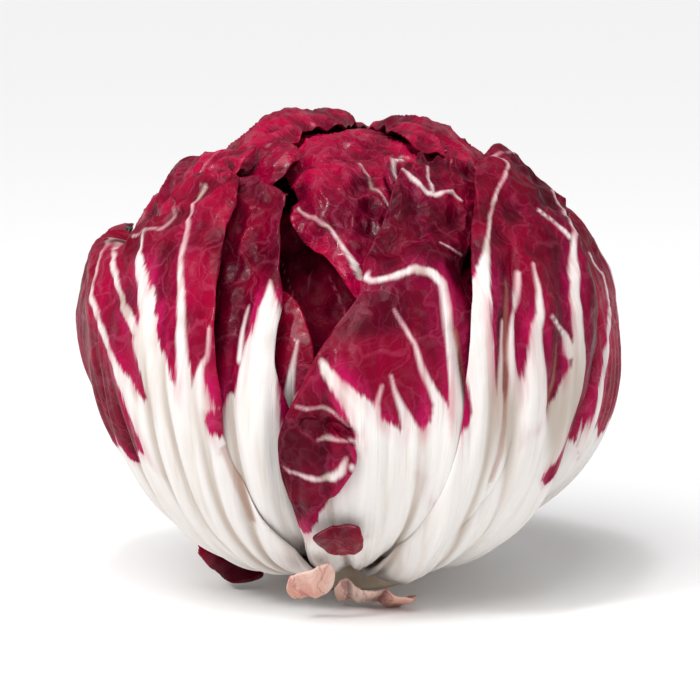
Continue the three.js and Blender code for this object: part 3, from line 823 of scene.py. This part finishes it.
        crinkles, pleats = crumple(directions)
        lift = crinkles * self.layer.value + pleats
        hollow = self.lines(points, self.hollows)[0]
        lift -= self.hollow_depth * ramp(hollow, 1.2, -1.2)
        lift += self.rib_height * ramp(white, 0.7, -0.9) * ramp(elevation, -40.0, 5.0)
        lift -= self.crease_depth * np.exp(-np.square(np.maximum(crease, 0.0) / CREASE_WIDTH))
        wave = MARGIN_WAVE.height * MARGIN_WAVE.over(places)
        lift += wave * np.exp(-rim / MARGIN_FADE) * ramp(elevation, -45.0, 0.0)
        places = places + directions * lift[:, None]
        places = np.clip(places + BALL_MIDDLE, FRAME_LOW, FRAME_HIGH)
        mesh.vertices.foreach_set("co", (places * MM).ravel())

        self.write("white", white)
        self.write("girth", girth)
        # Where the crinkles and pleats sink, the material paints shade.
        valley_shade_amount = np.maximum(ramp(pleats, -0.4, -1.25), ramp(crinkles, 0.0, -0.9))
        self.write("painted_valley_shade", valley_shade_amount)
        # The material darkens the hollows with painted shade.
        self.write("hollow", ramp(hollow, 1.5, -0.8))
        # The material also darkens the creases with painted shade.
        self.write("crease", crease)
        self.write("margin", rim)
        attribute = mesh.attributes.new("fan", "FLOAT_VECTOR", "POINT")
        attribute.data.foreach_set("vector", self.fan(directions).ravel())
        mesh.polygons.foreach_set("use_smooth", [True] * len(mesh.polygons))
        mesh.update()

    def write(self, name: str, values: np.ndarray) -> None:
        """Writes one number of that name for each vertex."""
        attribute = self.obj.data.attributes.new(name, "FLOAT", "POINT")
        attribute.data.foreach_set("value", values)


def crumple(directions: np.ndarray) -> tuple[np.ndarray, np.ndarray]:
    """How far the layers are crumpled and pleated in or out, in millimetres. All layers share it.

    Args:
        directions: Unit vectors from the ball's middle.

    Returns:
        The crinkles and the pleats, one number each for every direction.
    """
    height = directions[:, 2]
    risen = ramp(height, -0.2, 0.8)
    folds, small = np.abs(FOLDS.over(directions)), np.abs(SMALL.over(directions))
    crinkles = BROAD.height * BROAD.over(directions)
    crinkles = crinkles + FOLDS.height * (FOLD_MEAN - folds) + SMALL.height * (FOLD_MEAN - small)
    around = np.arctan2(directions[:, 0], -directions[:, 1])
    turned = np.stack((np.cos(around), np.sin(around), 0.1 * height), axis=1)
    grooves = np.abs(GROOVES.over(turned)) - GROOVE_MEAN
    pleats = np.abs(PLEATS.over(turned)) - PLEAT_MEAN
    low = (0.3 + 0.7 * ramp(height, 0.25, -0.2)) * ramp(height, -0.98, -0.78)
    low = low * ramp(height, 0.9, 0.5)
    depth = GROOVES.height * grooves + PLEATS.height * pleats
    return risen * crinkles, low * depth - PLEAT_SINK


@dataclass
class Stem:
    """The short stem, with a cut face that has dried a little."""

    node: str = "stem"
    piece: str = "cut_stem"
    radius: float = 12.5
    height: float = 12.0
    chamfer: float = 1.2
    sides: int = 96

    def build(self) -> bpy.types.Object:
        """Makes the stem.

        Returns:
            The finished piece.
        """
        bpy.ops.object.select_all(action="DESELECT")
        bpy.ops.mesh.primitive_cylinder_add(
            vertices=self.sides,
            radius=self.radius * MM,
            depth=self.height * MM,
            location=(0.0, 0.0, self.height * MM / 2),
        )
        obj = bpy.context.active_object
        obj.name = obj.data.name = self.piece
        bpy.ops.object.transform_apply(location=True, rotation=True, scale=True)
        modifier = obj.modifiers.new("worn edge", "BEVEL")
        modifier.width = self.chamfer * MM
        modifier.segments = 3
        modifier.limit_method = "ANGLE"
        bpy.ops.object.modifier_apply(modifier=modifier.name)
        bpy.ops.object.shade_smooth_by_angle(angle=math.radians(35.0))
        obj.data.materials.clear()
        obj.data.materials.append(self.make_finish())
        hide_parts(self.node)
        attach(obj, BODY)
        return obj

    def make_finish(self) -> bpy.types.Material:
        """Builds the flesh: cream, browned towards the cut's edge, with a ring of darker dots.

        Returns:
            The material.
        """
        bench = Bench("cut_stem_flesh")
        place = bench.place()
        flat = bench.scaled(place, (1.0, 1.0, 0.0))
        away = bench.node("ShaderNodeVectorMath", {"operation": "LENGTH"}, {0: flat})
        far = Wire(bench, away.outputs["Value"]) * (1.0 / MM)
        clouds = bench.cloud(bench.scaled(place, (180.0, 180.0, 180.0)), 4.0)
        dots = bench.cells(bench.scaled(place, (420.0, 420.0, 420.0))).step(0.3, 0.42)
        ring = far.step(6.0, 7.4) * far.step(9.6, 8.4)
        fresh, dried = linear((230, 218, 200)), linear((206, 186, 160))
        cream = bench.mixed(clouds.step(0.35, 0.7), fresh, dried)
        cream = bench.mixed(dots * ring * 0.6, cream, linear((168, 126, 94)))
        colour = bench.mixed(far.step(8.5, 12.4) * 0.3, cream, linear((176, 136, 110)))
        fixed = {"Subsurface Weight": 0.1, "Subsurface Radius": (0.003, 0.002, 0.0015)}
        bench.close(colour, 0.62, bench.relief(clouds * 0.4), fixed)
        return bench.material


@dataclass(frozen=True)
class Studio:
    """The floor, the lights and the camera. Lengths are metres."""

    floor_side: float = 60.0
    floor_tint: Tint = (246, 246, 246)
    world_strength: float = 0.4
    sun_strength: float = 2.3

    def build(self) -> None:
        """Sets up the studio."""
        self.lay_floor()
        self.light()
        self.place_camera()
        scene = bpy.context.scene
        scene.view_settings.view_transform = "Standard"
        scene.view_settings.look = "None"

    def lay_floor(self) -> None:
        """Lays a plain pale floor."""
        bpy.ops.object.select_all(action="DESELECT")
        bpy.ops.mesh.primitive_plane_add(size=self.floor_side, location=(0.0, 0.0, 0.0))
        floor = bpy.context.active_object
        floor.name = "studio_floor"
        bench = Bench("studio_floor")
        faint = bench.cloud(bench.scaled(bench.place(), (3.0, 3.0, 3.0)))
        fixed = {"Specular IOR Level": 0.2}
        bench.close(linear(self.floor_tint), 0.9, bench.relief(faint * 0.01), fixed)
        floor.data.materials.append(bench.material)
        floor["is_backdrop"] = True

    def light(self) -> None:
        """Hangs a broad soft sun, two soft lamps and a pale surround."""
        bpy.ops.object.light_add(type="SUN", location=(0.0, 0.0, 2.0))
        sun = bpy.context.active_object
        sun.name = "lamp_sky"
        sun.data.energy = self.sun_strength
        sun.data.angle = math.radians(50.0)
        sun.rotation_euler = Vector((0.35, 0.62, -1.0)).to_track_quat("-Z", "Y").to_euler()
        lamps = (
            ("key", (-0.5, -0.55, 0.6), 0.14, 2.6),
            ("fill", (0.7, -0.5, 0.4), 0.5, 1.6),
            ("glint", (-0.1, -0.3, 0.9), 0.1, 1.4),
        )
        for name, place, side, power in lamps:
            bpy.ops.object.light_add(type="AREA", location=place)
            lamp = bpy.context.active_object
            lamp.name = f"lamp_{name}"
            lamp.data.size = side
            lamp.data.energy = power
            aim = Vector((0.0, 0.0, 0.05)) - lamp.location
            lamp.rotation_euler = aim.to_track_quat("-Z", "Y").to_euler()
        world = bpy.data.worlds.new("surround")
        world.use_nodes = True
        background = world.node_tree.nodes["Background"]
        background.inputs["Color"].default_value = (1.0, 1.0, 1.0, 1.0)
        background.inputs["Strength"].default_value = self.world_strength
        bpy.context.scene.world = world

    def place_camera(self) -> None:
        """Places the camera at the picture's viewpoint."""
        bpy.ops.object.camera_add(location=VIEW.eye() * MM)
        camera = bpy.context.active_object
        camera.name = "picture_camera"
        camera.data.sensor_width = VIEW.sensor
        camera.data.lens = VIEW.lens()
        aim = Vector((0.0, 0.0, VIEW.aim_height)) - VIEW.eye()
        camera.rotation_euler = aim.to_track_quat("-Z", "Y").to_euler()
        bpy.context.scene.camera = camera


OUTER_FINISH = LeafFinish("outer_leaf")
# The leaves that face the front: a darker copy of the outer finish, whose darker lamina and shade
# tints are painted shade, with less coat, fainter veins and a narrower feather.
SHADED_FRONT_FINISH = LeafFinish(
    "front_leaf", lamina=(116, 0, 34), shade=(72, 0, 20), coat=0.05, vein_strength=0.1, feather=0.55
)
CROWN_FINISH = LeafFinish(
    "crown_leaf", lamina=(164, 0, 54), shade=(94, 0, 30), roughness=0.34, coat=0.14, relief=0.8
)
GAP_FINISH = LeafFinish(
    "inner_leaf", lamina=(140, 0, 40), shade=(84, 0, 20), roughness=0.32, coat=0.16
)
HEART_FINISH = LeafFinish(
    "heart_leaf",
    lamina=(96, 0, 26),
    shade=(58, 0, 14),
    flesh=(190, 90, 116),
    flesh_shade=(170, 70, 100),
    vein=(176, 70, 104),
    vein_strength=0.02,
    coat=0.0,
    specular=0.03,
    relief=0.2,
    feather=0.2,
)
SCRAP_FINISH = LeafFinish(
    "dried_scrap",
    lamina=(116, 0, 30),
    shade=(66, 0, 16),
    roughness=0.3,
    coat=0.16,
    vein_strength=0.05,
    relief=0.5,
)
HUSK_FINISH = LeafFinish(
    "dry_husk",
    lamina=(224, 196, 184),
    shade=(200, 150, 134),
    blush=(150, 40, 62),
    vein=(150, 44, 64),
    rim=(226, 208, 198),
    vein_strength=0.4,
    roughness=0.6,
    coat=0.0,
)


def outer_leaves() -> list[Leaf]:
    """The leaves that wrap the head.

    Returns:
        The leaves, in the order in which they lie.
    """
    rear_left = Leaf(
        "leaf_rear_left", "rear_left_leaf", "leaf", Layer.INNER, CROWN_FINISH,
        ribs=(
            globe((-160, 52, 0.4), (-166, 24, 1.6), (-168, -4, 4), (-168, -30, 8)),
            globe((-188, 34, 0.4), (-189, 10, 1.4), (-187, -12, 3.4), (-184, -34, 7)),
            globe((-140, 34, 0.4), (-144, 10, 1.5), (-147, -12, 3.6), (-150, -34, 7)),
            globe((-118, 26, 0.4), (-122, 2, 1.2), (-126, -16, 3), (-132, -34, 6)),
            globe((-154, 30, 0.3), (-156, 8, 0.5), (-157, -8, 1.4)),
            globe((-178, 30, 0.3), (-178, 8, 0.6), (-177, -8, 1.6)),
        ),
        pale_below=-26, centre=-155, rests_on=("heart", "leaf_rear_right"),
    )
    rear_right = Leaf(
        "leaf_rear_right", "rear_right_leaf", "leaf", Layer.INNER, CROWN_FINISH,
        ribs=(
            globe((140, 54, 0.4), (144, 24, 1.6), (144, -4, 4), (142, -30, 8)),
            globe((120, 34, 0.4), (122, 10, 1.5), (124, -12, 3.6), (126, -34, 7)),
            globe((162, 30, 0.4), (162, 4, 1.2), (160, -16, 3), (156, -34, 7)),
            globe((132, 26, 0.3), (133, 6, 0.5), (133, -8, 1.4)),
        ),
        pale_below=-26, centre=145,
    )
    shoulder = Leaf(
        "leaf_shoulder", "shoulder_leaf", "leaf", Layer.INNER, CROWN_FINISH,
        ribs=(globe((-60, 54, 0.4), (-66, 36, 0.5), (-74, 10, 1.2), (-74, -14, 3), (-74, -36, 7)),),
        centre=-80,
    )
    left_inner = Leaf(
        "leaf_left_inner", "left_inner_leaf", "leaf", Layer.INNER, SHADED_FRONT_FINISH,
        ribs=(
            seen(
                (270, 280, 0.3), (269, 297, 1.3), (267, 312, 2.6), (265, 335, 3.4),
                (261, 352, 3.8), (258, 370, 4.0), (256, 391, 4.6), (252, 430, 6), (256, 480, 8),
            ),
            seen((249, 306, 0.3), (246, 318, 0.4), (243, 329, 0.5), (240, 360, 0.8)),
            seen((231, 398, 1.2), (234, 425, 4), (240, 460, 6)),
        ),
        pale_below=-19, centre=-30, rests_on=("heart", "leaf_gap"), settles_below=-20.0,
    )
    far_right = Leaf(
        "leaf_far_right", "far_right_leaf", "leaf", Layer.OUTER, OUTER_FINISH,
        ribs=(
            seen(
                (591, 254, 0.6), (604, 277, 0.8), (610, 300, 1.0), (610, 339, 1.3),
                (606, 372, 1.9), (600, 402, 3), (588, 440, 5),
            ),
            globe((92, 24, 0.4), (90, 4, 1.4), (87, -12, 2.8), (84, -34, 6)),
            globe((110, 24, 0.4), (110, 2, 1.4), (108, -14, 3), (106, -34, 6)),
            globe((100, 14, 0.3), (100, -2, 0.5), (99, -14, 1.6)),
        ),
        pale_below=-17, centre=85, rests_on=("heart", "leaf_rear_right"),
    )
    left = Leaf(
        "leaf_left", "left_leaf", "leaf", Layer.OUTER, OUTER_FINISH,
        ribs=(
            seen(
                (202, 182, 0.35), (197, 193, 0.4), (190, 212, 0.5), (185, 232, 0.55),
                (181, 255, 0.6), (180, 274, 0.7), (180, 329, 0.9), (182, 358, 1.1),
                (184, 390, 1.9), (188, 430, 4), (205, 480, 7),
            ),
            seen(
                (144, 230, 0.4), (139, 255, 1.0), (140, 274, 1.7), (144, 300, 2.1),
                (147, 320, 2.6), (143, 342, 4.0), (156, 390, 4.8), (172, 430, 7), (205, 490, 10),
            ),
            seen(
                (117, 241, 0.4), (113, 262, 0.6), (115, 281, 0.8), (121, 306, 1.0),
                (129, 320, 1.3), (137, 335, 1.6),
            ),
            seen(
                (100, 256, 0.3), (92, 279, 0.6), (91, 297, 0.7), (96, 316, 0.8),
                (104, 344, 0.9), (115, 367, 1.2), (125, 388, 2.0), (146, 425, 5), (176, 470, 8),
            ),
            seen((209, 327, 0.3), (207, 358, 0.5), (202, 364, 0.6), (198, 378, 1.1), (200, 405, 3)),
            # A painted highlight along the hollow's lower rim, drawn as a pale rib.
            seen((100, 256, 0.2), (108, 236, 0.3), (127, 239, 0.3), (144, 229, 0.3),
                 (159, 229, 0.3), (172, 215, 0.25), (173, 203, 0.25), (163, 193, 0.2),
                 (153, 184, 0.15)),
            globe((-98, 20, 0.4), (-95, 2, 1.2), (-86, -14, 2.6), (-70, -30, 5)),
            globe((-110, 16, 0.4), (-106, -2, 1.2), (-98, -18, 2.4), (-80, -34, 5)),
        ),
        creases=(seen((222, 412, 0.3), (224, 450, 0.5), (236, 490, 0.4), (250, 525, 0.3)),),
        # The hollow is pressed in and darkened with painted shade.
        hollows=(seen((136, 224, 1.2), (145, 210, 2.8), (154, 203, 3.4), (164, 206, 1.8)),),
        pale_below=-17, centre=-50, hollow_depth=4.2,
        rests_on=("heart", "leaf_left_inner", "leaf_gap", "leaf_front", "leaf_shoulder",
                  "leaf_rear_left"),
    )
    right = Leaf(
        "leaf_right", "right_leaf", "leaf", Layer.OUTER, SHADED_FRONT_FINISH,
        ribs=(
            seen((470, 157, 0.35), (485, 154, 0.4), (501, 159, 0.4), (508, 166, 0.35),
                 (503, 180, 0.35), (497, 193, 0.35), (493, 209, 0.35)),
            seen(
                (493, 209, 0.35), (491, 224, 0.4), (488, 252, 0.7), (482, 275, 1.5),
                (478, 295, 2.4), (477, 312, 2.7), (477, 340, 3.0), (480, 360, 3.0),
                (485, 387, 2.9), (488, 415, 3.6), (482, 450, 6), (460, 500, 9),
            ),
            seen((504, 320, 0.3), (504, 350, 0.5), (503, 390, 0.9), (503, 420, 2)),
            seen(
                (519, 272, 0.4), (514, 310, 0.8), (513, 340, 1.0), (513, 358, 1.2),
                (516, 376, 1.5), (518, 398, 2.3), (518, 420, 4), (500, 460, 7),
            ),
            seen(
                (533, 264, 0.4), (539, 289, 0.6), (541, 316, 1.0), (538, 329, 1.5),
                (538, 358, 2.1), (538, 388, 3.0), (534, 415, 4.6),
            ),
            seen((552, 316, 0.5), (559, 326, 0.6), (566, 335, 0.9), (573, 352, 1.7)),
            seen(
                (554, 189, 0.35), (564, 209, 0.4), (573, 232, 0.6), (575, 262, 1.1),
                (578, 300, 1.3), (581, 339, 1.7), (583, 365, 2.6), (578, 390, 4.0),
                (566, 415, 5.4), (545, 450, 7), (500, 500, 9),
            ),
            seen((541, 209, 0.5), (554, 222, 0.6), (568, 237, 0.7)),
        ),
        creases=(
            seen((508, 281, 0.2), (508, 330, 0.3), (510, 387, 0.3), (509, 426, 0.3),
                 (504, 454, 0.3), (493, 483, 0.2)),
            seen((560, 345, 0.2), (558, 382, 0.3), (552, 410, 0.2)),
        ),
        pale_below=-18, centre=38, settles_below=12.0,
        rests_on=("heart", "leaf_front", "leaf_gap", "leaf_far_right"),
    )
    return [rear_right, rear_left, shoulder, left_inner, far_right, left, right]


def front_leaves() -> list[Leaf]:
    """The crown, the leaf in the gap, and the folded front leaf.

    Returns:
        The leaves.
    """
    crown = Leaf(
        "leaf_crown", "crown_leaf", "leaf", Layer.CROWN, CROWN_FINISH,
        ribs=(
            seen((293, 205, 0.3), (309, 216, 0.35), (328, 224, 0.4), (339, 241, 0.5),
                 (349, 256, 0.7), (355, 266, 1.0), (360, 276, 0.8)),
            seen((359, 165, 0.25), (369, 174, 0.3), (378, 189, 0.3), (390, 207, 0.3)),
        ),
        pale_below=-60, centre=20, root=(75, 5), far=(-110, 35), depth_weight=1.0,
    )
    crown_rib = Leaf(
        "leaf_crown_rib", "crown_rib_leaf", "leaf", Layer.CROWN, CROWN_FINISH,
        ribs=(seen((412, 135, 0.5), (399, 145, 0.7), (393, 161, 0.7), (396, 180, 0.5)),),
        pale_below=-60, centre=25, root=(30, 10), far=(200, 40),
    )
    gap = Leaf(
        "leaf_gap", "gap_leaf", "inner_leaf", Layer.INNER, GAP_FINISH,
        ribs=(
            seen((297, 341, 0.3), (292, 367, 0.6), (290, 378, 0.9), (286, 406, 1.4),
                 (280, 440, 3)),
            seen((303, 391, 0.4), (297, 402, 1.3), (288, 426, 2.2)),
        ),
        centre=-20,
    )
    front = Leaf(
        "leaf_front", "front_leaf", "leaf", Layer.OUTER, SHADED_FRONT_FINISH,
        ribs=(
            seen((403, 168, 0.5), (413, 178, 0.7), (426, 191, 0.7), (434, 194, 0.6),
                 (453, 191, 0.5), (462, 199, 0.4)),
            seen((428, 163, 0.3), (428, 178, 0.4), (434, 193, 0.4)),
            seen((441, 243, 0.3), (452, 249, 0.3), (462, 254, 0.3)),
            seen((360, 274, 0.6), (372, 281, 0.7), (394, 276, 0.7), (415, 268, 0.8),
                 (432, 272, 0.9), (443, 284, 1.1), (445, 300, 1.1), (448, 320, 1.1),
                 (452, 348, 1.5), (454, 367, 1.7), (457, 390, 1.9), (460, 416, 2.8),
                 (458, 440, 4), (448, 480, 7)),
            seen((394, 310, 0.25), (405, 327, 0.35), (415, 344, 0.4), (422, 367, 0.6),
                 (430, 384, 0.8), (439, 403, 1.3), (443, 425, 3), (438, 460, 6)),
            seen((391, 376, 0.25), (395, 391, 0.4), (403, 410, 0.8), (411, 430, 1.7),
                 (414, 460, 5)),
            seen((322, 362, 0.6), (326, 371, 1.0), (337, 385, 1.5), (349, 398, 2.1),
                 (361, 412, 2.7), (372, 431, 3.0), (382, 450, 5), (390, 480, 7),
                 (396, 520, 9)),
            seen((382, 386, 0.3), (377, 403, 0.5), (376, 416, 1.0)),
            seen((296, 407, 0.2), (306, 410, 0.25), (321, 408, 0.25), (333, 412, 0.3),
                 (341, 419, 0.3), (348, 427, 0.25)),
            seen((283, 469, 0.15), (289, 473, 0.25), (306, 477, 0.5), (321, 481, 0.6),
                 (333, 478, 0.8), (341, 470, 0.9), (346, 458, 0.4)),
            seen((352, 466, 0.6), (352, 482, 1.2), (343, 500, 2.2), (332, 520, 3.0),
                 (328, 545, 6)),
            seen((368, 450, 2.5), (366, 480, 4.0), (360, 520, 7)),
            # A painted highlight on the ridge of the turned-out fold, drawn as a pale rib.
            seen((318, 441, 0.3), (332, 439, 0.35), (345, 440, 0.35), (356, 440, 0.3)),
        ),
        creases=(
            seen((455, 329, 0.2), (462, 367, 0.3), (466, 390, 0.3), (472, 416, 0.3),
                 (470, 440, 0.3), (460, 470, 0.2)),
        ),
        # The hollow is pressed in and darkened with painted shade.
        hollows=(seen((305, 426, 0.9), (318, 429, 1.3), (338, 429, 1.2), (350, 433, 0.6)),),
        pale_below=-30, centre=10, depth_weight=1.6,
        rests_on=("heart", "leaf_gap", "leaf_left_inner"), settles_below=-40.0,
    )
    return [crown, crown_rib, gap, front]


def scraps() -> list[Leaf]:
    """The shrivelled scraps of shed leaves at the foot.

    Returns:
        The scraps.
    """
    return [
        Leaf("scrap_left", "left_scrap", "leaf", Layer.SCRAP, SCRAP_FINISH,
             pale_below=-80, centre=-45),
        Leaf("scrap_front", "front_scrap", "leaf", Layer.SCRAP, SCRAP_FINISH,
             pale_below=-80, centre=-3),
        Leaf("scrap_husk", "husk_scrap", "dry_leaf", Layer.SCRAP, HUSK_FINISH,
             pale_below=-80, centre=-8),
        Leaf("scrap_low", "low_scrap", "dry_leaf", Layer.SCRAP, HUSK_FINISH,
             pale_below=-80, centre=4),
    ]


def the_heart() -> Leaf:
    """The heart with the veins that show in the gap.

    Returns:
        The heart.
    """
    return Leaf(
        "heart", "closed_heart", "inner_leaf", Layer.CROWN, HEART_FINISH,
        ribs=(
            seen((280, 258, 0.25), (286, 277, 0.3), (295, 302, 0.35), (303, 318, 0.3)),
            seen((311, 266, 0.25), (309, 280, 0.3), (305, 297, 0.25)),
            seen((328, 274, 0.25), (339, 297, 0.35), (347, 320, 0.25)),
        ),
        pale_below=-60, rib_height=0.2,
    )


def corners() -> list[list[float]]:
    """The shown object's lowest and highest corners as plain lists."""
    return [list(corner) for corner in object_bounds()]


def main() -> None:
    """Builds the pieces in order and reports each one."""
    logging.basicConfig(level=logging.INFO, format="%(name)s: %(message)s")
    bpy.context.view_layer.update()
    Studio().build()
    stem = Stem().build()
    log.info("%s: %d faces", stem.name, len(stem.data.polygons))
    for leaf in [the_heart(), *front_leaves(), *outer_leaves(), *scraps()]:
        piece = leaf.build()
        log.info("%s: %d faces", piece.name, len(piece.data.polygons))


if __name__ == "__main__":
    main()
